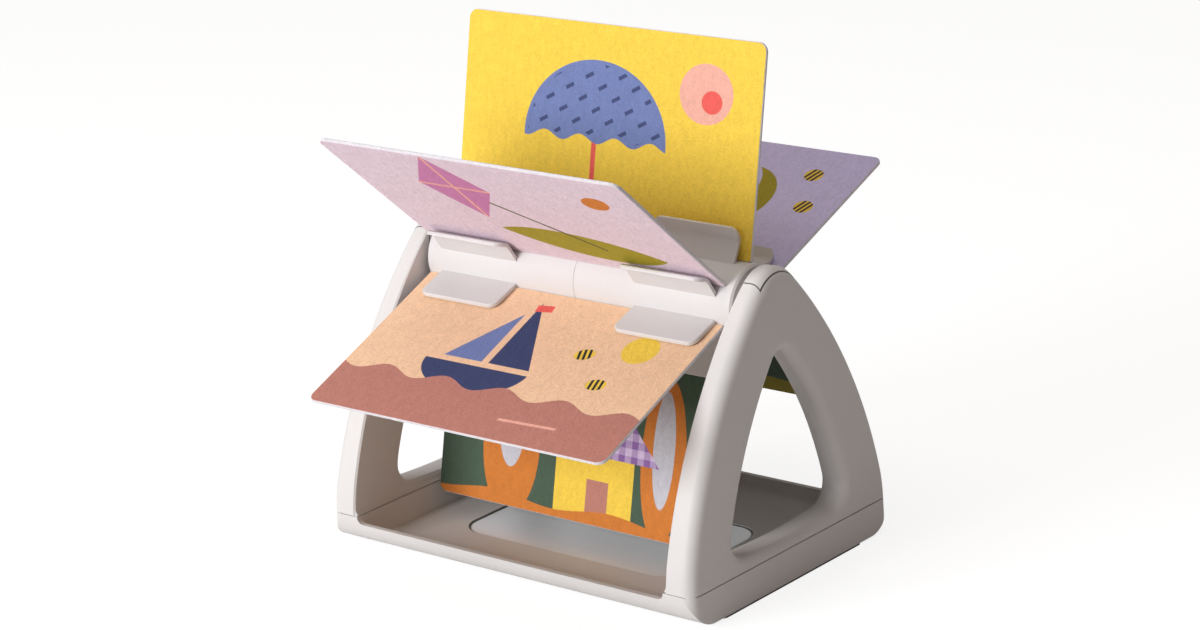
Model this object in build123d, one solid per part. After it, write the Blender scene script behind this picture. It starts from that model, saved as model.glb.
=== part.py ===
from build123d import *
import math
import os

# A baby's tummy time book: picture cards held round a drum that turns between
# two arched uprights, over a tray with a mirror in its floor.
# X runs along the drum, Y to the back, Z up. The origin is on the floor, under
# the middle of the drum. All sizes are in millimetres, all angles in degrees.

# Driving dimensions of the picture cards
card_width = 150.0
card_thickness = 1.5
card_corner_radius = 4.0
card_inner_corner_radius = 1.0
card_edge_bevel = 0.3
card_seat_gap = 0.1
card_floor_clearance = 7.3
# The cards in order round the drum, and the first one's angle from +Y towards +Z
card_names = ("card_lilac", "card_yellow", "card_pink", "card_peach", "card_green", "card_forest")
first_card_angle = 20.1
# How far each card leans in its clips, in degrees, and how far it has slid along the drum
card_lean_angles = {
    "card_lilac": 1.1,
    "card_yellow": -0.4,
    "card_pink": -0.5,
    "card_peach": 2.6,
    "card_green": -1.6,
}
card_slides = {"card_lilac": 0.7, "card_pink": -1.5, "card_peach": -1.2}

# Driving dimensions of the drum, its clips and its pins
drum_length = 155.2
drum_radius = 16.0
drum_wall = 2.6
drum_end_bevel = 0.8
drum_seam_bevel = 0.25
drum_end_gap = 2.4
spigot_length = 9.0
spigot_wall = 1.8
spigot_gap = 0.1
clip_width = 40.0
clip_spacing = 100.0
plate_reach = 16.0
plate_thickness = 1.6
plate_corner_radius = 4.0
plate_edge_bevel = 0.4
spring_reach = 13.4
spring_thickness = 1.4
spring_corner_radius = 3.5
spring_gap = 0.6
spring_waist_reach = 8.4
spring_root_rise = 2.6
spring_lip_rise = 2.6
spring_bend_radius = 4.0
plug_length = 6.0
pin_radius = 8.0
pin_length = 10.0
pin_tip_bevel = 0.8
bearing_clearance = 0.06

# Driving dimensions of the uprights and their caps
axle_height = 112.0
upright_foot_thickness = 13.6
upright_top_thickness = 10.2
base_depth = 134.6
arch_top_radius = 16.5
arch_lower_radius = 60.0
arch_lower_sweep = 14.0
outer_edge_round = 5.5
inner_edge_bevel = 0.7
leg_width = 26.0
window_sill_height = 20.6
window_sill_sag = 2.2
window_corner_radius = 9.0
window_top_radius = 6.5
window_outer_round = 4.4
window_inner_bevel = 1.1
upright_skin = 1.6
cap_inset = 0.5
cap_seam = 0.35
cove_reach = 1.2
cove_height = 2.4
cove_lip_height = 0.6
seam_groove_width = 0.6
seam_groove_depth = 0.8

# Driving dimensions of the base
foot_height = 1.0
foot_length = 96.0
foot_width = 12.0
foot_corner_radius = 3.0
foot_inset = 0.5
seam_height = 14.4
rim_height = 11.5
rim_thickness = 2.6
rim_corner_radius = 2.8
tray_wall_run = 1.2
tray_cove_run = 11.5
cover_thickness = 0.8
mirror_thickness = 0.8
floor_lip_thickness = 0.6
mirror_view_width = 111.0
mirror_view_depth = 65.0
mirror_view_corner = 12.0
mirror_overlap = 4.0
mirror_gap = 0.2
cover_overlap = 3.0
cover_corner = 8.0

# Driving dimensions of the upright screws
screw_head_radius = 2.5
screw_head_height = 1.8
screw_shank_radius = 1.5
screw_length = 16.0
screw_gap = 0.1
screw_counterbore = 2.4

# Sizes that follow from those above
card_step_angle = 360 / len(card_names)
upright_gap = drum_length + 2 * drum_end_gap
half_gap = upright_gap / 2
half_depth = base_depth / 2
half_drum = drum_length / 2
bore_radius = drum_radius - drum_wall
bearing_radius = pin_radius + bearing_clearance
plate_radius = drum_radius + plate_reach
spring_radius = drum_radius + spring_reach
clip_root_radius = drum_radius - drum_wall / 2
outer_taper = (upright_foot_thickness - upright_top_thickness) / axle_height
block_inner = half_gap - cove_reach
floor_height = foot_height + cover_thickness + mirror_thickness + floor_lip_thickness
card_inner_radius = drum_radius + card_seat_gap
card_height = axle_height - floor_height - card_floor_clearance - card_inner_radius
cap_width = upright_top_thickness - upright_skin
cover_width = mirror_view_width + 2 * (mirror_overlap + cover_overlap)
cover_depth = mirror_view_depth + 2 * (mirror_overlap + cover_overlap)
screw_height = foot_height + screw_counterbore
screw_spacing = foot_length + 2 * screw_head_radius
screw_x = half_gap + upright_foot_thickness / 2
cutter_margin = 30.0
selection_margin = 0.01


def outer_face_x(height):
    # Where the tapered outer face of an upright stands at a height
    return half_gap + upright_foot_thickness - outer_taper * height


def on_circle(centre, radius, angle):
    # A point of a circle, with its angle from +Y towards +Z
    turn = math.radians(angle)
    return (centre[0] + radius * math.cos(turn), centre[1] + radius * math.sin(turn))


def arc_between(centre, radius, start, end):
    # The arc of a circle between two angles
    middle = (start + end) / 2
    return ThreePointArc(
        on_circle(centre, radius, start),
        on_circle(centre, radius, middle),
        on_circle(centre, radius, end),
    )


# The right half of the arch, seen from the side, is a short lower arc, a long
# upper arc and the round top, each tangent to the next
arch_top_centre = (0.0, axle_height)
lower_centre = (half_depth - arch_lower_radius, seam_height)
lower_turn = math.radians(arch_lower_sweep)
lower_direction = (math.cos(lower_turn), math.sin(lower_turn))
top_offset = (arch_top_centre[0] - lower_centre[0], arch_top_centre[1] - lower_centre[1])
radius_step = arch_lower_radius - arch_top_radius
offset_square = top_offset[0] ** 2 + top_offset[1] ** 2
offset_along = top_offset[0] * lower_direction[0] + top_offset[1] * lower_direction[1]
radius_growth = (offset_square - radius_step**2) / (2 * (radius_step - offset_along))
arch_upper_radius = arch_lower_radius + radius_growth
upper_centre = (
    lower_centre[0] - radius_growth * lower_direction[0],
    lower_centre[1] - radius_growth * lower_direction[1],
)
arch_top_angle = math.degrees(
    math.atan2(arch_top_centre[1] - upper_centre[1], arch_top_centre[0] - upper_centre[0])
)
cap_half_depth = arch_top_radius * math.cos(math.radians(arch_top_angle)) - cap_inset


def outer_plane():
    # The plane of the upright's leaning outer face, from the floor up
    lean = math.atan(outer_taper)
    out = (math.cos(lean), 0, math.sin(lean))
    return Plane(origin=(outer_face_x(0), 0, 0), x_dir=(0, 1, 0), z_dir=out)


def arch_outline(low):
    # The arch seen square on, down to a height below its seam
    foot = half_depth
    back = Line((foot, low), (foot, seam_height))
    back += arc_between(lower_centre, arch_lower_radius, 0, arch_lower_sweep)
    back += arc_between(upper_centre, arch_upper_radius, arch_lower_sweep, arch_top_angle)
    top = arc_between(arch_top_centre, arch_top_radius, arch_top_angle, 180 - arch_top_angle)
    front = mirror(back, Plane.YZ)
    return make_face(back + top + front + Line((-foot, low), (foot, low)))


def window_outline():
    # The opening between the legs: the long arcs moved in by the legs' width
    radius = arch_upper_radius - leg_width
    sill_reach = math.degrees(math.asin((window_sill_height - upper_centre[1]) / radius))
    apex_reach = math.degrees(math.acos(-upper_centre[0] / radius))
    back = arc_between(upper_centre, radius, sill_reach, apex_reach)
    front = mirror(back, Plane.YZ)
    corner = on_circle(upper_centre, radius, sill_reach)[0]
    sill = ThreePointArc(
        (-corner, window_sill_height),
        (0, window_sill_height - window_sill_sag),
        (corner, window_sill_height),
    )
    window = make_face(back + front + sill)
    corners = window.vertices().sort_by(Axis.Y)
    window = fillet(corners[:2], window_corner_radius)
    return fillet(window.vertices().sort_by(Axis.Y)[-1], window_top_radius)


def side_section(low, high):
    # The base's side seen from the front: its inner face is plumb, its outer one leans
    return make_face(
        Polyline(
            (half_gap, low),
            (outer_face_x(low), low),
            (outer_face_x(high), high),
            (half_gap, high),
            close=True,
        )
    )


def cap_prism(seam):
    # The slot over the pin, which the cap closes, less a seam all round
    depth = 2 * (cap_half_depth - seam)
    height = arch_top_radius + cutter_margin
    prism = Box(cap_width + cutter_margin - seam, depth, height)
    x = half_gap + cap_width - seam - (cap_width + cutter_margin - seam) / 2
    return Pos(x, 0, axle_height + height / 2) * prism


def bearing_bore():
    # The bore for the drum's pin, closed by the upright's outer skin
    bore = Cylinder(bearing_radius, cap_width + cutter_margin, rotation=(0, 90, 0))
    return Pos(half_gap + cap_width - (cap_width + cutter_margin) / 2, 0, axle_height) * bore


def outline_edges(face, low):
    # The outer edges of a side face, without its straight foot
    return [edge for edge in face.outer_wire().edges() if edge.center().Z > low + selection_margin]


def arch_body():
    # The whole arch before it is parted into upright and cap
    low = foot_height
    reach = upright_foot_thickness + cutter_margin
    body = extrude(outer_plane() * arch_outline(low), -reach)
    body = body - extrude(outer_plane() * window_outline(), reach, both=True)
    outside = body.faces().sort_by(Axis.X)[-1]
    body = fillet(outline_edges(outside, low), outer_edge_round)
    outside = body.faces().filter_by(GeomType.PLANE).sort_by(Axis.X)[-1]
    body = fillet(outside.inner_wires()[0].edges(), window_outer_round)
    span = 4 * half_depth
    body = body - Pos(half_gap - span / 2, 0, half_depth) * Box(span, span, span)
    inside = body.faces().sort_by(Axis.X)[0]
    body = chamfer(inside.inner_wires()[0].edges(), window_inner_bevel)
    inside = body.faces().filter_by(GeomType.PLANE).sort_by(Axis.X)[0]
    return chamfer(outline_edges(inside, low), inner_edge_bevel)


def foot_cove():
    # The cove at the foot of the inner face, which meets the tray's side
    lip = seam_height + cove_lip_height
    top = lip + cove_height
    root = half_gap + cove_reach
    foot = Polyline((block_inner, lip), (block_inner, seam_height), (root, seam_height), (root, top))
    back = Line((root, top), (half_gap, top))
    cove = TangentArc((half_gap, top), (block_inner, lip), tangent=(0, -1))
    section = make_face(foot + back + cove)
    return extrude(Plane.XZ * section, half_depth - inner_edge_bevel, both=True)


def screw_axes():
    # Where the right upright's screws stand
    return [Pos(screw_x, side * screw_spacing / 2, 0) for side in (-1, 1)]


def upright():
    # The right upright, with the slot for its cap and the drum's pin
    body = arch_body() - cap_prism(0) - bearing_bore()
    span = 4 * half_depth
    under = Pos(half_gap, 0, seam_height - span / 2) * Box(span, span, span)
    body = body + foot_cove() - under
    slab = Pos(half_gap, 0, seam_height + seam_groove_width / 2) * Box(span, span, seam_groove_width)
    groove_x = outer_face_x(seam_height) - seam_groove_depth
    kept_depth = 2 * (half_depth - seam_groove_depth)
    kept_width = groove_x - block_inner - seam_groove_depth
    kept = Pos(groove_x - kept_width / 2, 0, seam_height) * Box(kept_width, kept_depth, span)
    body = body - (slab - kept)
    hole_top = screw_height + screw_length + screw_gap
    for place in screw_axes():
        hole = Cylinder(screw_shank_radius + screw_gap, hole_top)
        body = body - place * Pos(0, 0, hole_top / 2) * hole
    return body


def axle_cap():
    # The right cap, flush with the arch, which holds the pin down in its bearing
    cap = arch_body() & cap_prism(cap_seam)
    return cap - bearing_bore()


def base_block():
    # The outside of the base, whose sides carry on the uprights' outer faces
    low = foot_height
    section = Plane.XZ * side_section(low, seam_height)
    right = extrude(section, half_depth, both=True)
    height = seam_height - low
    middle = Pos(0, 0, low + height / 2) * Box(upright_gap, base_depth, height)
    block = middle + right + mirror(right, Plane.YZ)
    corners = [edge for edge in block.edges() if is_plan_corner(edge)]
    block = fillet(corners, outer_edge_round)
    side = make_face(
        Line((-half_depth, seam_height), (half_depth, seam_height))
        + arc_between((half_depth - height, seam_height), height, 0, -90)
        + Line((half_depth - height, low), (height - half_depth, low))
        + arc_between((height - half_depth, seam_height), height, -90, -180)
    )
    reach = half_gap + upright_foot_thickness + cutter_margin
    return block & extrude(Plane.YZ * side, reach, both=True)


def is_plan_corner(edge):
    # An upright edge at one of the base's four corners
    box = edge.bounding_box()
    at_corner = min(abs(box.min.X), abs(box.max.X)) > half_gap + upright_foot_thickness / 2
    return at_corner and box.size.Z > (seam_height - foot_height) / 2


def tray_cutter():
    # The space between the rims: an open front and back, and the tray, whose
    # floor curves up to the rims and meets the drafted sides in a crease
    height = seam_height - rim_height + cutter_margin
    width = 2 * block_inner
    opening = Pos(0, 0, rim_height + height / 2) * Box(width, base_depth + cutter_margin, height)
    lower = opening.edges().filter_by(Axis.Y).group_by(Axis.Z)[0]
    opening = fillet(lower, rim_corner_radius)
    wall = half_depth - rim_thickness
    foot = wall - tray_cove_run
    floor = Line((-foot, floor_height), (foot, floor_height))
    back = TangentArc((foot, floor_height), (wall, rim_height), tangent=(1, 0))
    back += Line((wall, rim_height), (wall, seam_height))
    top = Line((wall, seam_height), (-wall, seam_height))
    along = make_face(floor + back + top + mirror(back, Plane.YZ))
    inner_foot = block_inner - tray_wall_run
    across = make_face(
        Polyline(
            (block_inner, seam_height),
            (-block_inner, seam_height),
            (-inner_foot, floor_height),
            (inner_foot, floor_height),
            close=True,
        )
    )
    tray = extrude(Plane.YZ * along, width, both=True) & extrude(Plane.XZ * across, half_depth, both=True)
    return opening, tray


def rounded_slab(width, depth, corner, low, high):
    # A flat slab with rounded corners between two heights
    return extrude(Plane.XY.offset(low) * RectangleRounded(width, depth, corner), high - low)


def base_tray():
    # The base moulding: rims, coved tray, mirror opening and screw holes
    opening, tray = tray_cutter()
    body = base_block() - opening - tray
    view = rounded_slab(
        mirror_view_width, mirror_view_depth, mirror_view_corner, foot_height, floor_height + cutter_margin
    )
    mirror_top = foot_height + cover_thickness + mirror_thickness
    nest = rounded_slab(
        mirror_view_width + 2 * (mirror_overlap + mirror_gap),
        mirror_view_depth + 2 * (mirror_overlap + mirror_gap),
        mirror_view_corner,
        foot_height - cutter_margin,
        mirror_top,
    )
    panel = rounded_slab(
        cover_width + 2 * mirror_gap,
        cover_depth + 2 * mirror_gap,
        cover_corner,
        foot_height - cutter_margin,
        foot_height + cover_thickness,
    )
    body = body - view - nest - panel
    for place in screw_axes():
        shank = place * Pos(0, 0, seam_height / 2) * Cylinder(screw_shank_radius + screw_gap, seam_height)
        sink = place * Pos(0, 0, screw_height / 2) * Cylinder(screw_head_radius + screw_gap, screw_height)
        body = body - shank - sink
        body = body - mirror(shank, Plane.YZ) - mirror(sink, Plane.YZ)
    return body


def mirror_sheet():
    # The mirror, held up against the tray floor's lip
    low = foot_height + cover_thickness
    width = mirror_view_width + 2 * mirror_overlap
    depth = mirror_view_depth + 2 * mirror_overlap
    return rounded_slab(width, depth, mirror_view_corner, low, low + mirror_thickness)


def mirror_cover():
    # The panel under the mirror, flush with the underside of the base
    return rounded_slab(cover_width, cover_depth, cover_corner, foot_height, foot_height + cover_thickness)


def foot_strip():
    # The right rubber strip that the base stands on
    x = outer_face_x(0) - foot_inset - foot_width / 2
    strip = RectangleRounded(foot_width, foot_length, foot_corner_radius)
    return extrude(Pos(x, 0, 0) * strip, foot_height)


def upright_screws():
    # The two screws that hold the right upright down on the base
    screws = []
    for place in screw_axes():
        head_low = screw_height - screw_head_height
        head = Pos(0, 0, head_low + screw_head_height / 2) * Cylinder(screw_head_radius, screw_head_height)
        shank = Pos(0, 0, screw_height + screw_length / 2) * Cylinder(screw_shank_radius, screw_length)
        screws.append(place * (head + shank))
    return screws


def clip_mask(reach, corner):
    # The plan of one clip, seen square on, with its outer corners rounded
    width = clip_width
    length = reach - clip_root_radius + corner
    centre = Pos(clip_spacing / 2, reach - length / 2)
    return centre * RectangleRounded(width, length, corner)


def flat_plate():
    # The flat side of a clip, on a card that points along +Y
    top = -card_thickness / 2
    mask = clip_mask(plate_radius, plate_corner_radius)
    plate = extrude(Plane.XY.offset(top - plate_thickness) * mask, plate_thickness)
    outline = plate.faces().sort_by(Axis.Z)[0].edges()
    plate = chamfer(outline, plate_edge_bevel)
    return plate - Box(drum_length, 2 * clip_root_radius, drum_length)


def spring_plate():
    # The sprung side of a clip: it runs in to the card, then flares out as a lip
    half = spring_thickness / 2
    waist = card_thickness / 2 + spring_gap + half
    root = (clip_root_radius, waist + spring_root_rise)
    bend = (drum_radius + spring_waist_reach, waist)
    tip = (spring_radius, waist + spring_lip_rise)
    path = FilletPolyline(root, bend, tip, radius=spring_bend_radius)
    band = make_face(
        offset_side(path, half) + offset_side(path, -half) + end_caps(path, half)
    )
    spring = extrude(Plane.YZ * band, drum_length, both=True)
    mask = clip_mask(spring_radius, spring_corner_radius)
    return spring & extrude(mask, drum_radius + spring_reach)


def offset_side(path, distance):
    # The same straight runs and bend, moved sideways
    edges = path.edges()
    first, bend, last = edges[0], edges[1], edges[2]
    start = first @ 0 + side_step(first % 0, distance)
    meet = first @ 1 + side_step(first % 1, distance)
    middle = bend @ 0.5 + side_step(bend % 0.5, distance)
    leave = last @ 0 + side_step(last % 0, distance)
    finish = last @ 1 + side_step(last % 1, distance)
    return Line(start, meet) + ThreePointArc(meet, middle, leave) + Line(leave, finish)


def end_caps(path, half):
    # The two short ends of the band
    start, finish = path @ 0, path @ 1
    first, last = path % 0, path % 1
    root = Line(start + side_step(first, half), start + side_step(first, -half))
    lip = Line(finish + side_step(last, half), finish + side_step(last, -half))
    return root + lip


def side_step(direction, distance):
    # A step square to a direction, in the drawing plane
    return Vector(-direction.Y, direction.X, 0) * distance


def drum_shell():
    # The right half of the drum, a tube with a bevelled shoulder and a fine bevel at the seam
    tube = Cylinder(drum_radius, half_drum)
    tube = chamfer(tube.edges().group_by(Axis.Z)[-1], drum_end_bevel)
    tube = chamfer(tube.edges().group_by(Axis.Z)[0], drum_seam_bevel)
    tube = tube - Cylinder(bore_radius, half_drum)
    return Pos(half_drum / 2, 0, 0) * Rot(0, 90, 0) * tube


def drum_half():
    # The right half of the drum, with one clip moulded on for each card
    body = drum_shell()
    clip = flat_plate() + spring_plate()
    for place in range(len(card_names)):
        body = body + Rot(first_card_angle + place * card_step_angle, 0, 0) * clip
    inside = Cylinder(bore_radius, drum_length, rotation=(0, 90, 0))
    return Pos(0, 0, axle_height) * (body - inside)


def drum_spigot():
    # The sleeve on the left half that the right half slides over
    outer = bore_radius - spigot_gap
    length = 2 * spigot_length
    sleeve = Cylinder(outer, length) - Cylinder(outer - spigot_wall, length)
    collar = Cylinder(bore_radius, spigot_length) - Cylinder(outer - spigot_wall, spigot_length)
    sleeve = Rot(0, 90, 0) * sleeve + Pos(-spigot_length / 2, 0, 0) * Rot(0, 90, 0) * collar
    return Pos(0, 0, axle_height) * sleeve


def drum_end():
    # The right end plug, with the pin that turns in the bearing
    plug = Pos(half_drum - plug_length / 2, 0, 0) * Rot(0, 90, 0) * Cylinder(bore_radius, plug_length)
    pin = Cylinder(pin_radius, pin_length)
    pin = chamfer(pin.edges().group_by(Axis.Z)[-1], pin_tip_bevel)
    pin = Pos(half_drum + pin_length / 2, 0, 0) * Rot(0, 90, 0) * pin
    return Pos(0, 0, axle_height) * (plug + pin)


def card(place, name):
    # One picture card in its clips, at its place round the drum
    outline = Rectangle(card_width, card_height)
    outline = fillet(outline.vertices().group_by(Axis.Y)[-1], card_corner_radius)
    outline = fillet(outline.vertices().group_by(Axis.Y)[0], card_inner_corner_radius)
    sheet = extrude(Pos(0, card_inner_radius + card_height / 2) * outline, card_thickness / 2, both=True)
    rims = sheet.faces().filter_by(Axis.Z).edges()
    sheet = chamfer(rims, card_edge_bevel)
    lean = card_lean_angles.get(name, 0.0)
    pivot_radius = plate_radius if lean < 0 else card_inner_radius
    pivot = Pos(0, pivot_radius, -card_thickness / 2)
    leaning = pivot * Rot(lean, 0, 0) * pivot.inverse() * sheet
    slide = Pos(card_slides.get(name, 0.0), 0, axle_height)
    return slide * Rot(first_card_angle + place * card_step_angle, 0, 0) * leaning


def both_sides(shape):
    # A right-hand piece and its mirror image
    return {"right": shape, "left": mirror(shape, Plane.YZ)}


def build():
    # Every piece, by the name of its node
    nodes = {"base_tray": base_tray(), "mirror": mirror_sheet(), "mirror_cover": mirror_cover()}
    for side, shape in both_sides(foot_strip()).items():
        nodes["foot_" + side] = shape
    for side, shape in both_sides(upright()).items():
        nodes["upright_" + side] = shape
    for side, shape in both_sides(axle_cap()).items():
        nodes["axle_cap_" + side] = shape
    screws = upright_screws()
    nodes["screws_right"] = Compound(children=screws)
    nodes["screws_left"] = Compound(children=[mirror(screw, Plane.YZ) for screw in screws])
    halves = both_sides(drum_half())
    nodes["drum_right"] = halves["right"]
    nodes["drum_left"] = halves["left"] + drum_spigot()
    for side, shape in both_sides(drum_end()).items():
        nodes["drum_end_" + side] = shape
    for place, name in enumerate(card_names):
        nodes[name] = card(place, name)
    return nodes


os.makedirs("parts", exist_ok=True)
for node, shape in build().items():
    export_step(shape, "parts/" + node + ".step")
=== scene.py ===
import math

import bmesh
import bpy
from mathutils import Matrix, Vector

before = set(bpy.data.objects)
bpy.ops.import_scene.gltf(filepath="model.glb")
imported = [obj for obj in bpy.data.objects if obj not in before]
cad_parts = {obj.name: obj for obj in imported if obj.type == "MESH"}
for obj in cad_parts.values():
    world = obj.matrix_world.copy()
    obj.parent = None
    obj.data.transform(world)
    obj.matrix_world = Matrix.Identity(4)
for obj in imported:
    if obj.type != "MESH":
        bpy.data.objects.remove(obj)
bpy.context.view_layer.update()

# The photograph's frame, and the view it was taken from, in pixels, millimetres, metres and degrees
image_width = 1200
focal_pixels = 3274.62
sensor_width = 36.0
camera_place = Vector((0.7969, -0.9857, 0.4824))
camera_azimuth = 38.951
camera_elevation = 16.966
camera_roll = -2.667
nearest_seen = 0.05
farthest_seen = 30.0

# The middle of the drum in metres, and how many millimetres are in a metre
axle = Vector((0.0, 0.0, 0.112))
millimetres = 1000.0

# A picture card: its thickness, the depth of its print, and how soft a printed edge is, in millimetres
card_thickness = 1.5
print_skin = 0.12
print_softness = 0.22
core_softness = 0.06
side_softness = 0.1

# A small printed bead: where its stripes lie and how wide each is, as shares of its half length
bead_stripes = (-0.5, 0.0, 0.5)
bead_stripe_half = 0.13

# The mirror's opening in the tray, from its middle, and the band of painted shade round it under the lip, in
# millimetres
mirror_half = (55.5, 32.5)
mirror_corner = 12.0
mirror_shade_band = 1.1
mirror_shade_band_softness = 0.5

# The thin gap round the uprights' caps, in millimetres, and how strongly shade is painted on its walls
cap_seam = 0.35
gap_margin = 0.05
gap_shade = 0.75

# The fine lines of the moulds: cells per millimetre along x, y and z
level_lines = (0.15, 0.05, 3.2)
lengthwise_lines = (2.4, 0.1, 0.1)

# Colours as they look in daylight, from 0 to 255
warm_white = (218, 214, 212)
drum_white = (216, 212, 211)
core_white = (226, 222, 226)
sunny = (246, 208, 76)
periwinkle = (114, 129, 180)
ink_blue = (66, 76, 120)
coral = (238, 98, 90)
blush = (242, 178, 160)
petal_ground = (230, 210, 221)
magenta = (203, 128, 174)
olive = (165, 150, 38)
dark_olive = (92, 88, 50)
peach_ground = (246, 204, 166)
clay = (190, 128, 114)
navy = (56, 66, 106)
fir = (74, 94, 76)
rust = (212, 126, 52)
pale_grey = (204, 203, 212)
plum = (148, 108, 174)
pale_plum = (222, 200, 234)
lilac_ground = (218, 209, 252)
lime = (184, 180, 40)
soot = (38, 36, 40)
shadow_brown = (58, 46, 42)
rubber_grey = (66, 60, 58)
filmed_silver = (248, 250, 255)
zinc_grey = (178, 178, 182)

# The floor, in metres and as light: its own grey, and how much of it is a plain glow to the camera
floor_reach = 6.0
floor_grey = (0.88, 0.88, 0.88, 1.0)
floor_glow = 1.28
floor_glow_share = 0.65

# The surround: its colour and strength as light, and the white that is seen and mirrored
plain_white = (1.0, 1.0, 1.0, 1.0)
surround_colour = (1.0, 0.88, 0.81, 1.0)
surround_light = 0.2
mirrored_white = 0.74
seen_rays = ("Is Camera Ray", "Is Glossy Ray", "Is Transmission Ray")

# The lamps, in metres and watts, with their colours as light
lamps = {
    "key_light": {
        "place": (-0.9, -2.7, 0.85),
        "target": (0.0, 0.0, 0.09),
        "size": 1.4,
        "power": 79.0,
        "colour": (0.95, 0.975, 1.0),
    },
    "top_light": {
        "place": (-0.3, -0.1, 1.7),
        "target": (0.0, 0.0, 0.1),
        "size": 1.2,
        "power": 8.5,
        "colour": (1.0, 0.97, 0.95),
    },
}


def linear(colour):
    """A colour from 0 to 255 as the linear RGBA that a shader takes."""
    parts = []
    for part in colour:
        part = part / 255
        parts.append(part / 12.92 if part <= 0.04045 else ((part + 0.055) / 1.055) ** 2.4)
    return (*parts, 1.0)


class Value:
    """A number in a material, on which Python's operators add Math nodes."""

    def __init__(self, paint, socket):
        self.paint = paint
        self.socket = socket

    def math(self, operation, *others, clamp=False):
        settings = {"operation": operation, "use_clamp": clamp}
        return self.paint.node("ShaderNodeMath", settings, dict(enumerate((self, *others))))

    def __add__(self, other):
        return self.math("ADD", other)

    def __sub__(self, other):
        return self.math("SUBTRACT", other)

    def __rsub__(self, other):
        return self.paint.node("ShaderNodeMath", {"operation": "SUBTRACT"}, {0: other, 1: self})

    def __mul__(self, other):
        return self.math("MULTIPLY", other)

    def __neg__(self):
        return self * -1.0

    def __abs__(self):
        return self.math("ABSOLUTE")

    __radd__ = __add__
    __rmul__ = __mul__

    def over(self, other):
        """The larger of two, which is where two shapes overlap."""
        return self.math("MAXIMUM", other)

    def under(self, other):
        """The smaller of two, which is two shapes joined."""
        return self.math("MINIMUM", other)

    def to_line(self, pitch):
        """The distance to the nearest of lines that are repeated at a pitch."""
        return abs(self.math("WRAP", pitch / 2, -pitch / 2))

    def inside(self, softness):
        """1 where a distance is below zero, 0 where it is above, soft in between."""
        return self.math("MULTIPLY_ADD", -1.0 / softness, 0.5, clamp=True)


class Paint:
    """The nodes that make one material, or the world."""

    def __init__(self, owner):
        owner.use_nodes = True
        self.owner = owner
        self.tree = owner.node_tree
        self.tree.nodes.clear()

    def node(self, kind, settings=None, sockets=None, output=0):
        """A node with its settings, then the values or links of its sockets."""
        made = self.tree.nodes.new(kind)
        for name, setting in (settings or {}).items():
            setattr(made, name, setting)
        for name, value in (sockets or {}).items():
            if isinstance(value, Value):
                self.tree.links.new(value.socket, made.inputs[name])
            else:
                made.inputs[name].default_value = value
        return Value(self, made.outputs[output]) if made.outputs else None

    def place(self, centre=Vector(), rows=Matrix.Identity(3)):
        """The point being shaded in millimetres from a centre, in the axes of the rows."""
        return self.node("ShaderNodeMapping", {"vector_type": "POINT"}, {
            "Vector": self.node("ShaderNodeTexCoord", output="Object"),
            "Location": (rows @ centre) * -millimetres,
            "Rotation": rows.to_euler(),
            "Scale": (millimetres, millimetres, millimetres),
        })

    def parts(self, point):
        """The three parts of a point."""
        return [self.node("ShaderNodeSeparateXYZ", {}, {0: point}, output=axis) for axis in range(3)]

    def noise(self, point, cells, detail=2.0, roughness=0.5, stretch=(1, 1, 1)):
        """Even noise from 0 to 1, with a number of cells per millimetre."""
        if stretch != (1, 1, 1):
            point = self.node("ShaderNodeMapping", {}, {"Vector": point, "Scale": stretch})
        sockets = {"Vector": point, "Scale": cells, "Detail": detail, "Roughness": roughness}
        return self.node("ShaderNodeTexNoise", {}, sockets)

    def mix(self, factor, below, above):
        """One colour over another."""
        sockets = {0: factor, 6: below, 7: above}
        return self.node("ShaderNodeMix", {"data_type": "RGBA"}, sockets, output=2)

    def shade(self, colour, amount):
        """A colour made lighter or darker by a value near 1."""
        grey = self.node("ShaderNodeCombineColor", {}, {0: amount, 1: amount, 2: amount})
        sockets = {0: 1.0, 6: colour, 7: grey}
        return self.node("ShaderNodeMix", {"data_type": "RGBA", "blend_type": "MULTIPLY"}, sockets, output=2)

    def bump(self, height, depth, strength):
        """A bump from a height of 0 to 1 that stands for a depth in millimetres."""
        sockets = {"Height": height, "Distance": depth / millimetres, "Strength": strength}
        return self.node("ShaderNodeBump", {}, sockets)

    def finish(self, sockets):
        """The surface, from the sockets of a Principled BSDF."""
        surface = self.node("ShaderNodeBsdfPrincipled", {}, sockets)
        self.node("ShaderNodeOutputMaterial", {}, {"Surface": surface})
        return self.owner


def new_paint(name):
    """An empty material to paint."""
    return Paint(bpy.data.materials.new(name))


# Moulded plastic, rubber, mirror and screws


def cap_gap(paint, point):
    """Where shade is painted: 1 on the walls of the thin gap round the uprights' caps, 0 elsewhere."""
    corners = [vertex.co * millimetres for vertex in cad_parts["axle_cap_right"].data.vertices]
    cap_half_width = max(corner.x for corner in corners)
    cap_half_depth = max(corner.y for corner in corners)
    cap_foot = min(corner.z for corner in corners)
    x, y, z = paint.parts(point)
    off_cap = (abs(x) - cap_half_width).over(abs(y) - cap_half_depth)
    gap = (off_cap - cap_seam).over(-off_cap).over(cap_foot - z)
    return (gap - gap_margin).inside(gap_margin)


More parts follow.
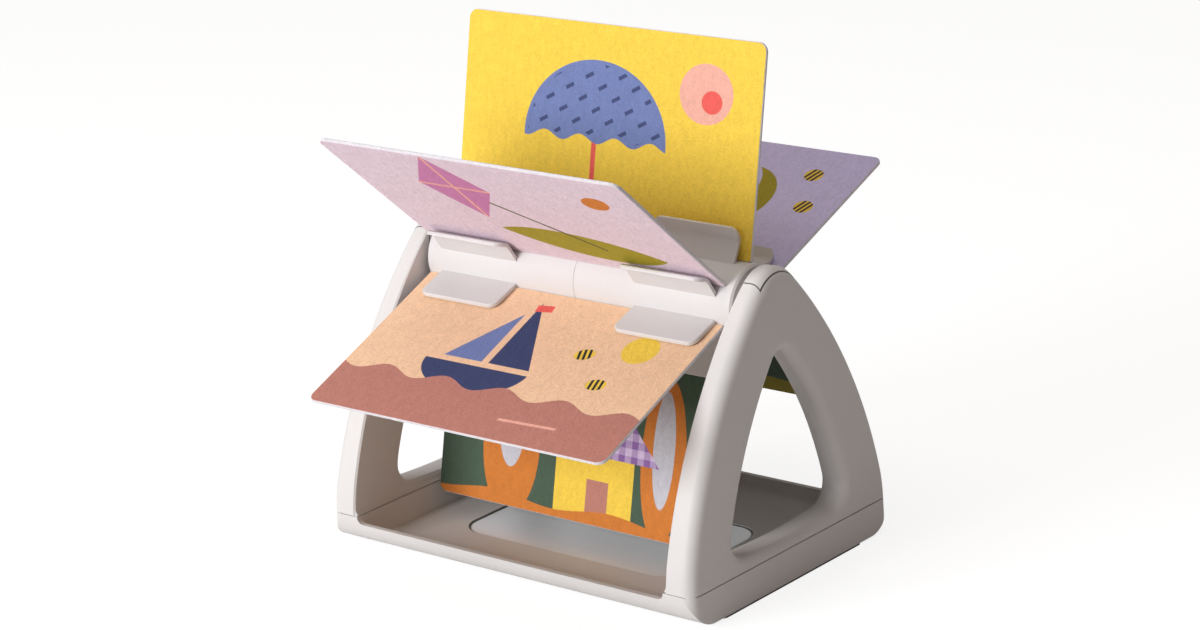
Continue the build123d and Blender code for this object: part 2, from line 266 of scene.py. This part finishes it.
def moulded_plastic(name, colour, lines, shade_cap_gap=False):
    """Fine matt plastic, with the faint level lines of its mould, and painted shade in the gap round the
    caps when asked.
    """
    paint = new_paint(name)
    point = paint.place()
    cloud = paint.noise(point, cells=0.03, detail=3.0)
    grain = paint.noise(point, cells=5.0, roughness=0.6)
    streak = paint.noise(point, cells=1.0, detail=3.0, roughness=0.6, stretch=lines)
    tone = 0.955 + cloud * 0.06 + streak * 0.03
    relief = grain * 0.35 + streak * 0.65
    toned = paint.shade(linear(colour), tone)
    # Painted shade on the walls of the thin gap round the caps, mixed toward shadow brown
    if shade_cap_gap:
        toned = paint.mix(cap_gap(paint, point) * gap_shade, toned, linear(shadow_brown))
    return paint.finish({
        "Base Color": toned,
        "Roughness": 0.46 + grain * 0.1 + cloud * 0.06,
        "IOR": 1.47,
        "Specular IOR Level": 0.42,
        "Normal": paint.bump(relief, depth=0.03, strength=0.55),
    })


def soft_rubber(name):
    """Dull dark rubber with a fine tooth."""
    paint = new_paint(name)
    point = paint.place()
    grain = paint.noise(point, cells=3.0, detail=3.0)
    return paint.finish({
        "Base Color": paint.shade(linear(rubber_grey), 0.85 + grain * 0.3),
        "Roughness": 0.78 + grain * 0.12,
        "Normal": paint.bump(grain, depth=0.05, strength=0.6),
    })


def filmed_mirror(name):
    """The safety mirror, dulled by a thin film, with painted shade in a band under the tray's lip."""
    paint = new_paint(name)
    point = paint.place()
    x, y, _ = paint.parts(point)
    square_half = [half - mirror_corner for half in mirror_half]
    over_x = (abs(x) - square_half[0]).over(0.0)
    over_y = (abs(y) - square_half[1]).over(0.0)
    to_corner = (over_x * over_x + over_y * over_y).math("SQRT")
    # Painted shade: a dark band just inside the opening's edge, where the tray's lip shades the mirror
    band = (mirror_corner - mirror_shade_band - to_corner).inside(mirror_shade_band_softness)
    ripple = paint.noise(point, cells=0.02)
    haze = paint.noise(point, cells=0.09, detail=4.0, roughness=0.6)
    silver = paint.shade(linear(filmed_silver), 0.96 + haze * 0.08)
    return paint.finish({
        "Base Color": paint.mix(band, silver, linear(shadow_brown)),
        "Metallic": 0.3,
        "Roughness": 0.36 + haze * 0.08,
        "Normal": paint.bump(ripple, depth=0.3, strength=0.25),
    })


def plated_steel(name):
    """Zinc plated screws, with turning marks."""
    paint = new_paint(name)
    point = paint.place()
    scratch = paint.noise(point, cells=2.0, detail=3.0, stretch=(1, 1, 8))
    return paint.finish({
        "Base Color": paint.shade(linear(zinc_grey), 0.9 + scratch * 0.2),
        "Metallic": 1.0,
        "Roughness": 0.28 + scratch * 0.14,
        "Normal": paint.bump(scratch, depth=0.02, strength=0.5),
    })


# The printed pages of the picture cards


class Page:
    """One printed side of a card, with u to the right and v up, in millimetres."""

    def __init__(self, paint, u, v, ground):
        self.paint = paint
        self.u = u
        self.v = v
        self.colour = linear(ground)

    def turned(self, centre, turn):
        """The page's u and v about a centre, turned by an angle in degrees."""
        u = self.u - centre[0]
        v = self.v - centre[1]
        if not turn:
            return u, v
        cosine = math.cos(math.radians(turn))
        sine = math.sin(math.radians(turn))
        return u * cosine + v * sine, v * cosine - u * sine

    def oval(self, centre, half, turn=0.0):
        """The distance to an oval of two half widths."""
        u, v = self.turned(centre, turn)
        long_way = u * (1 / half[0])
        short_way = v * (1 / half[1])
        reach = (long_way * long_way + short_way * short_way).math("SQRT")
        return (reach - 1.0) * min(half)

    def slab(self, centre, half, turn=0.0):
        """The distance to a rectangle of two half widths."""
        u, v = self.turned(centre, turn)
        return (abs(u) - half[0]).over(abs(v) - half[1])

    def gable(self, apex, slope_degrees, base):
        """The distance to a triangle under an apex, down to a level base."""
        u, v = self.turned(apex, 0.0)
        slope = math.radians(slope_degrees)
        sides = abs(u) * math.sin(slope) + v * math.cos(slope)
        return sides.over(base - self.v)

    def below(self, level, height=0.0, length=1.0, shift=0.0):
        """The distance to everything below a level or waved line."""
        if not height:
            return self.v - level
        wave = (self.u * (2 * math.pi / length) + shift).math("SINE") * height
        return self.v - level - wave

    def repeated(self, centre, pitch, half, turn):
        """The distance to slabs repeated on a slanted grid, row by row out of step."""
        u, v = self.turned(centre, turn)
        row = (v * (1 / pitch[1])).math("ROUND")
        row_shift = pitch[0] * 0.38
        across = (u + row * row_shift).to_line(pitch[0]) - half[0]
        along = v.to_line(pitch[1]) - half[1]
        return across.over(along)

    def lay(self, colour, distance):
        """Prints a colour inside a shape."""
        self.colour = self.paint.mix(distance.inside(print_softness), self.colour, linear(colour))

    def lay_bead(self, centre, half, turn):
        """Prints a small oval with dark stripes across it."""
        bead = self.oval(centre, half, turn)
        along, _ = self.turned(centre, turn)
        self.lay(sunny, bead)
        for stripe in bead_stripes:
            to_stripe = abs(along - half[0] * stripe) - half[0] * bead_stripe_half
            self.lay(soot, to_stripe.over(bead))

    def lay_gingham(self, light, dark, distance, pitch, turn=0.0):
        """Prints a woven check inside a shape."""
        across, along = (
            (length.to_line(pitch) - pitch / 4).inside(print_softness)
            for length in self.turned((0.0, 0.0), turn)
        )
        check = self.paint.mix((across + along) * 0.5, linear(light), linear(dark))
        self.colour = self.paint.mix(distance.inside(print_softness), self.colour, check)


def umbrella_page(page):
    """A spotted umbrella and a round pink flower."""
    dome = page.oval((-6.0, -4.0), (36.0, 32.0)).over(-page.below(-4.0, 1.6, 18.0))
    page.lay(coral, page.slab((-6.0, -14.0), (1.2, 20.0)))
    page.lay(coral, page.oval((-1.5, -33.0), (5.6, 5.0)).over(page.below(-33.0)))
    page.lay(sunny, page.oval((-1.5, -33.0), (3.2, 2.7)))
    page.lay(periwinkle, dome)
    page.lay(ink_blue, page.repeated((-6.0, 8.0), (11.0, 7.0), (2.2, 0.8), 28.0).over(dome + 1.5))
    page.lay(blush, page.oval((48.0, 20.0), (13.0, 12.0)))
    page.lay(coral, page.oval((51.0, 17.0), (5.0, 4.6)))


def kite_page(page):
    """A kite over a long leaf."""
    leaf = page.oval((18.0, -40.0), (52.0, 26.0), -8.0).over(page.oval((14.0, -6.0), (50.0, 27.0), -14.0))
    page.lay(olive, leaf)
    page.lay(dark_olive, page.slab((8.0, -9.0), (26.0, 0.7), -38.0))
    kite = (abs(page.u + 22.0) * 0.82 + abs(page.v - 16.0) * 0.57) - 15.0
    page.lay(magenta, kite)
    page.lay(blush, page.slab((-22.0, 16.0), (0.7, 27.0)).over(kite))
    page.lay(blush, page.slab((-22.0, 16.0), (19.0, 0.7)).over(kite))
    page.lay(rust, page.oval((52.0, 22.0), (7.0, 5.0), 20.0))


def boat_page(page):
    """A sailing boat on clay-coloured waves, with two striped beads."""
    hull = page.oval((-14.0, -6.0), (26.0, 16.0)).over(page.below(-6.0))
    page.lay(navy, page.gable((-10.0, 36.0), 62.0, -3.0).over(page.u * -1.0 - 10.0))
    page.lay(periwinkle, page.gable((-13.5, 28.0), 58.0, -3.0).over(page.u + 13.5))
    page.lay(coral, page.slab((-7.0, 33.0), (4.0, 2.0), 8.0))
    page.lay(navy, hull)
    page.lay(clay, page.below(-17.0, 2.4, 30.0))
    page.lay(blush, page.slab((30.0, -31.0), (14.0, 0.7), 2.0))
    page.lay(sunny, page.oval((50.0, 20.0), (8.0, 8.0)))
    page.lay_bead((28.0, 12.0), (4.6, 3.2), 20.0)
    page.lay_bead((44.0, -3.0), (4.6, 3.2), 10.0)


def cottage_page(page):
    """A cottage with a checked roof between two trees."""
    page.lay(rust, page.oval((-38.0, -16.0), (15.0, 30.0)))
    page.lay(pale_grey, page.oval((-38.0, -6.0), (7.0, 20.0)))
    page.lay(rust, page.oval((40.0, -10.0), (11.0, 34.0)))
    page.lay(pale_grey, page.oval((40.0, -6.0), (5.4, 24.0)))
    page.lay(sunny, page.slab((6.0, -26.0), (20.0, 22.0)))
    page.lay_gingham(pale_plum, plum, page.gable((6.0, 22.0), 48.0, -14.0), 6.4)
    page.lay(clay, page.slab((8.0, -34.0), (5.6, 10.0)))
    page.lay(rust, page.below(-38.0, 1.5, 60.0))


def moon_page(page):
    """A crescent moon and small striped beads."""
    page.lay(olive, page.oval((21.0, 4.0), (22.0, 22.0)).over(-page.oval((11.0, 10.0), (21.0, 21.0))))
    for centre in ((52.0, 25.0), (60.0, 4.0), (-30.0, 26.0), (-52.0, -6.0)):
        page.lay_bead(centre, (4.4, 4.0), -20.0)


def mushroom_page(page):
    """Two toadstools on dark ground."""
    page.lay(soot, page.below(-26.0, 3.0, 44.0))
    page.lay(pale_plum, page.slab((40.0, -16.0), (4.0, 14.0)))
    page.lay(plum, page.oval((40.0, -6.0), (17.0, 15.0)).over(-page.below(-6.0)))
    page.lay(pale_plum, page.oval((34.0, 2.0), (3.0, 2.6)))
    page.lay(pale_plum, page.oval((46.0, 1.0), (2.4, 2.2)))
    page.lay(blush, page.slab((-30.0, -18.0), (4.4, 13.0)))
    page.lay(rust, page.oval((-30.0, -8.0), (20.0, 17.0)).over(-page.below(-8.0)))


def fruit_page(page):
    """An apple and a pear."""
    page.lay(coral, page.oval((-28.0, -2.0), (21.0, 19.0)))
    page.lay(olive, page.oval((-20.0, 21.0), (9.0, 4.0), 35.0))
    pear = page.oval((30.0, -9.0), (18.0, 16.0)).under(page.oval((30.0, 9.0), (11.0, 15.0)))
    page.lay(lime, pear)
    page.lay(dark_olive, page.slab((31.0, 27.0), (0.9, 5.0), -12.0))


def hills_page(page):
    """Rolling hills under a sun."""
    page.lay(sunny, page.oval((-26.0, 16.0), (14.0, 14.0)))
    page.lay(olive, page.below(-8.0, 9.0, 120.0, 0.8))
    page.lay(fir, page.below(-22.0, 6.0, 76.0))


def flower_page(page):
    """Two tall flowers on a bank."""
    page.lay(olive, page.below(-24.0, 3.0, 70.0))
    for centre, petals in (((-30.0, 6.0), coral), ((28.0, 12.0), sunny)):
        page.lay(lime, page.slab((centre[0], centre[1] - 24.0), (0.9, 22.0)))
        for turn in (0.0, 60.0, 120.0):
            page.lay(petals, page.oval(centre, (14.0, 5.0), turn))
        page.lay(rust, page.oval(centre, (4.2, 4.2)))


def train_page(page):
    """A small engine that puffs along."""
    page.lay(periwinkle, page.slab((-4.0, -12.0), (30.0, 10.0)))
    page.lay(coral, page.slab((-24.0, 4.0), (10.0, 10.0)))
    page.lay(pale_grey, page.slab((-24.0, 6.0), (5.0, 4.6)))
    page.lay(navy, page.slab((16.0, 4.0), (3.4, 8.0)))
    page.lay(rust, page.slab((0.0, -33.0), (75.0, 0.8)))
    for centre in (-24.0, -2.0, 18.0):
        page.lay(soot, page.oval((centre, -24.0), (7.6, 7.6)))
        page.lay(sunny, page.oval((centre, -24.0), (3.0, 3.0)))
    puffs = page.oval((28.0, 20.0), (8.0, 6.0)).under(page.oval((42.0, 26.0), (6.0, 4.4)))
    page.lay(pale_grey, puffs)


def fish_page(page):
    """Two fish over a sandy bed."""
    page.lay(blush, page.below(-30.0, 2.2, 50.0))
    shoal = (((-26.0, 4.0), coral, sunny), ((28.0, -10.0), periwinkle, ink_blue))
    for centre, colour, stripe in shoal:
        body = page.oval(centre, (20.0, 12.0))
        page.lay(colour, page.oval((centre[0] - 22.0, centre[1]), (5.0, 10.0)))
        page.lay(colour, body)
        page.lay(stripe, page.slab((centre[0] + 2.0, centre[1]), (2.6, 14.0)).over(body + 1.0))


def ball_page(page):
    """A beach ball and building blocks."""
    ball = page.oval((-28.0, -8.0), (22.0, 22.0))
    page.lay(periwinkle, ball)
    page.lay(sunny, page.slab((-28.0, -8.0), (6.0, 30.0), 30.0).over(ball))
    page.lay(coral, page.slab((22.0, -20.0), (10.0, 10.0)))
    page.lay(navy, page.slab((44.0, -20.0), (10.0, 10.0)))
    page.lay(magenta, page.slab((33.0, 1.0), (10.0, 10.0)))


# Each card's ground and page on the side read when it stands up, then on the side read when it hangs
card_pages = {
    "card_yellow": (sunny, umbrella_page, sunny, fruit_page),
    "card_pink": (petal_ground, kite_page, pale_grey, ball_page),
    "card_peach": (peach_ground, hills_page, peach_ground, boat_page),
    "card_green": (fir, mushroom_page, fir, cottage_page),
    "card_lilac": (lilac_ground, moon_page, petal_ground, train_page),
    "card_forest": (pale_grey, fish_page, fir, flower_page),
}


def card_axes(node):
    """A card's middle and its axes: along the drum, outwards, and through the card."""
    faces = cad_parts[node].data.polygons
    middle = sum((face.center * face.area for face in faces), Vector()) / sum(face.area for face in faces)
    broad = max(faces, key=lambda face: face.area)
    along = Vector((1.0, 0.0, 0.0))
    through = broad.normal.copy()
    if along.cross(middle - axle).dot(through) < 0:
        through.negate()
    return middle, Matrix((along, through.cross(along), through))


def printed_card(node):
    """Felted board, printed on both sides, with a bare core at its edges."""
    front_ground, front, back_ground, back = card_pages[node]
    middle, axes = card_axes(node)
    paint = new_paint(node + "_felt")
    point = paint.place(middle, axes)
    u, v, w = paint.parts(point)
    pages = []
    for ground, draw, height in ((front_ground, front, v), (back_ground, back, -v)):
        page = Page(paint, u, height, ground)
        draw(page)
        pages.append(page.colour)
    colour = paint.mix((-w).inside(side_softness), pages[1], pages[0])
    core = (abs(w) - (card_thickness / 2 - print_skin)).inside(core_softness)
    colour = paint.mix(core, colour, linear(core_white))
    fibre = paint.noise(point, cells=1.1, detail=3.0, roughness=0.6)
    crease = paint.noise(point, cells=0.5, detail=3.0, roughness=0.6, stretch=(1.0, 0.5, 1.0))
    relief = fibre * 0.4 + crease * 0.6
    return paint.finish({
        "Base Color": paint.shade(colour, 0.62 + fibre * 0.4 + crease * 0.3),
        "Roughness": 0.72 + fibre * 0.12,
        "Specular IOR Level": 0.3,
        "Normal": paint.bump(relief, depth=0.6, strength=0.9),
    })


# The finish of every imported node

shell = moulded_plastic("shell_plastic_finish", warm_white, level_lines, shade_cap_gap=True)
drum_shell = moulded_plastic("drum_plastic_finish", drum_white, lengthwise_lines)
mirror_finish = filmed_mirror("mirror_finish")
rubber = soft_rubber("rubber_finish")
steel = plated_steel("steel_finish")

node_finishes = {
    "base_tray": shell,
    "mirror_cover": shell,
    "mirror": mirror_finish,
}
for side in ("left", "right"):
    node_finishes["upright_" + side] = shell
    node_finishes["axle_cap_" + side] = shell
    node_finishes["drum_" + side] = drum_shell
    node_finishes["drum_end_" + side] = drum_shell
    node_finishes["foot_" + side] = rubber
    node_finishes["screws_" + side] = steel
for node in card_pages:
    node_finishes[node] = printed_card(node)
for node, finish in node_finishes.items():
    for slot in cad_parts[node].material_slots:
        slot.material = finish


# The pale floor, the soft light and the camera


def pale_floor():
    """A wide pale floor that keeps the soft shadow."""
    shape = bmesh.new()
    bmesh.ops.create_grid(shape, x_segments=1, y_segments=1, size=floor_reach)
    mesh = bpy.data.meshes.new("floor")
    shape.to_mesh(mesh)
    shape.free()
    floor = bpy.data.objects.new("floor", mesh)
    bpy.context.scene.collection.objects.link(floor)
    paint = new_paint("floor_finish")
    ray = paint.node("ShaderNodeLightPath", output="Is Camera Ray")
    matt = paint.node("ShaderNodeBsdfDiffuse", {}, {"Color": floor_grey})
    glow = paint.node("ShaderNodeEmission", {}, {"Color": plain_white, "Strength": floor_glow})
    seen = paint.node("ShaderNodeMixShader", {}, {0: ray * floor_glow_share, 1: matt, 2: glow})
    paint.node("ShaderNodeOutputMaterial", {}, {"Surface": seen})
    mesh.materials.append(paint.owner)


def white_surround():
    """A world that is white to look at and a dim warm light on the object."""
    world = bpy.data.worlds.new("surround")
    bpy.context.scene.world = world
    paint = Paint(world)
    camera, glossy, through = (paint.node("ShaderNodeLightPath", output=kind) for kind in seen_rays)
    seen = camera.over(glossy.over(through) * mirrored_white)
    light = paint.node("ShaderNodeBackground", {}, {"Color": surround_colour, "Strength": surround_light})
    white = paint.node("ShaderNodeBackground", {}, {"Color": plain_white, "Strength": 1.0})
    mixed = paint.node("ShaderNodeMixShader", {}, {0: seen, 1: light, 2: white})
    paint.node("ShaderNodeOutputWorld", {}, {"Surface": mixed})


def soft_box(name, place, target, size, power, colour):
    """A square area light that points at a target."""
    lamp = bpy.data.lights.new(name, "AREA")
    lamp.shape = "SQUARE"
    lamp.size = size
    lamp.energy = power
    lamp.color = colour
    light = bpy.data.objects.new(name, lamp)
    light.location = place
    light.rotation_euler = (Vector(target) - Vector(place)).to_track_quat("-Z", "Y").to_euler()
    bpy.context.scene.collection.objects.link(light)


def photo_camera():
    """The camera of the photograph, from its azimuth, elevation and roll."""
    azimuth = math.radians(camera_azimuth)
    elevation = math.radians(camera_elevation)
    roll = math.radians(camera_roll)
    ahead = Vector((
        -math.sin(azimuth) * math.cos(elevation),
        math.cos(azimuth) * math.cos(elevation),
        -math.sin(elevation),
    ))
    level = ahead.cross(Vector((0.0, 0.0, 1.0))).normalized()
    upright = level.cross(ahead)
    right = level * math.cos(roll) + upright * math.sin(roll)
    up = upright * math.cos(roll) - level * math.sin(roll)
    turn = Matrix((right, up, -ahead)).transposed()
    lens = bpy.data.cameras.new("photo_camera")
    lens.sensor_width = sensor_width
    lens.lens = focal_pixels * sensor_width / image_width
    lens.clip_start = nearest_seen
    lens.clip_end = farthest_seen
    camera = bpy.data.objects.new("photo_camera", lens)
    camera.location = camera_place
    camera.rotation_euler = turn.to_euler()
    bpy.context.scene.collection.objects.link(camera)
    bpy.context.scene.camera = camera


pale_floor()
white_surround()
for lamp_name, settings in lamps.items():
    soft_box(lamp_name, **settings)
photo_camera()
bpy.context.scene.view_settings.view_transform = "Standard"
